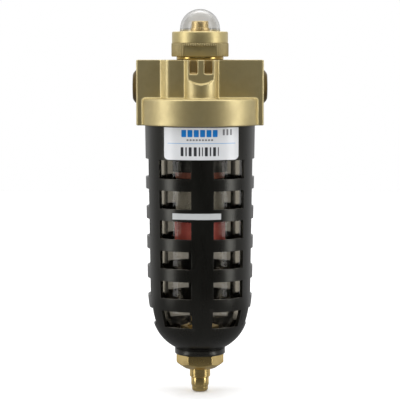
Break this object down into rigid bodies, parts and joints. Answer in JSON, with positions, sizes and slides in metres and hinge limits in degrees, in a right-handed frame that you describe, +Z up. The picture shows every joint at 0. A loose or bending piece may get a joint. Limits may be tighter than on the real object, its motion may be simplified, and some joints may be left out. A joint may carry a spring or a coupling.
{
  "type": "compressed air filter",
  "caption": "Inline compressed air filter: ported head with a domed service indicator, a porous element in a clear bowl, a windowed bowl guard and a push-up drain.",
  "frame": {"origin": "on the filter's long axis, at the lower end of the drain nipple", "axes": "+Z up the long axis towards the indicator dome, +X towards the outlet port, -Y towards the labelled front"},
  "size_m": [0.0738, 0.068, 0.2105],
  "materials": {
    "satin_gold": "satin gold over a die casting, fine blasted grain",
    "polished_brass": "turned and polished",
    "turned_brass": "turned, fine tool marks",
    "clear_dome": "clear moulded plastic",
    "clear_bowl": "clear moulded plastic",
    "black_rubber": "matt",
    "spring_steel": "drawn wire",
    "dark_plastic": "fine moulded texture",
    "red_plastic": "satin moulding",
    "sintered_white": "porous, granular",
    "black_moulding": "satin moulding",
    "label_sheet": "printed film, satin",
    "strip_sheet": "plain film, satin"
  },
  "bodies": {
    "head": {"head_casting": "satin_gold", "neck_washer": "polished_brass", "bonnet_nut": "satin_gold", "sight_dome": "clear_dome", "dome_seal": "black_rubber", "indicator_housing": "turned_brass", "housing_seal": "black_rubber", "indicator_circlip": "spring_steel", "bowl_seal": "black_rubber", "deflector": "dark_plastic", "element_cap": "red_plastic", "element_gasket_top": "black_rubber", "filter_element": "sintered_white", "element_gasket_bottom": "black_rubber", "baffle": "red_plastic", "element_stud": "turned_brass", "retaining_nut": "turned_brass", "indicator_spring": "spring_steel"},
    "indicator": {"indicator_piston": "turned_brass", "piston_seal": "black_rubber"},
    "bowl_set": {"bowl": "clear_bowl", "drain_body": "polished_brass", "drain_gasket": "black_rubber", "drain_nut": "turned_brass", "drain_spring": "spring_steel"},
    "guard": {"bowl_guard": "black_moulding", "product_label": "label_sheet", "marker_strip": "strip_sheet"},
    "drain": {"drain_stem": "polished_brass", "stem_seal": "black_rubber", "valve_cap": "turned_brass"}
  },
  "joints": [
    {"name": "bowl_drop", "type": "slide", "parent": "head", "child": "bowl_set", "axis": [0, 0, -1], "range_m": [0, 0.0075]},
    {"name": "guard_unscrew", "type": "hinge", "parent": "bowl_set", "child": "guard", "pos_m": [0, 0, 0.15], "axis": [0, 0, -1], "range_deg": [0, 1080]},
    {"name": "drain_push", "type": "slide", "parent": "bowl_set", "child": "drain", "axis": [0, 0, 1], "range_m": [0, 0.0025], "stiffness_N_per_m": 1200, "springref_m": -0.002, "deforming": ["drain_spring"]},
    {"name": "indicator_rise", "type": "slide", "parent": "head", "child": "indicator", "axis": [0, 0, 1], "range_m": [0, 0.0035], "stiffness_N_per_m": 400, "springref_m": -0.003, "deforming": ["indicator_spring"]}
  ],
  "couplings": [
    {"joint": "guard_unscrew", "follows": "bowl_drop", "rad_per_m": 2513.3}
  ]
}
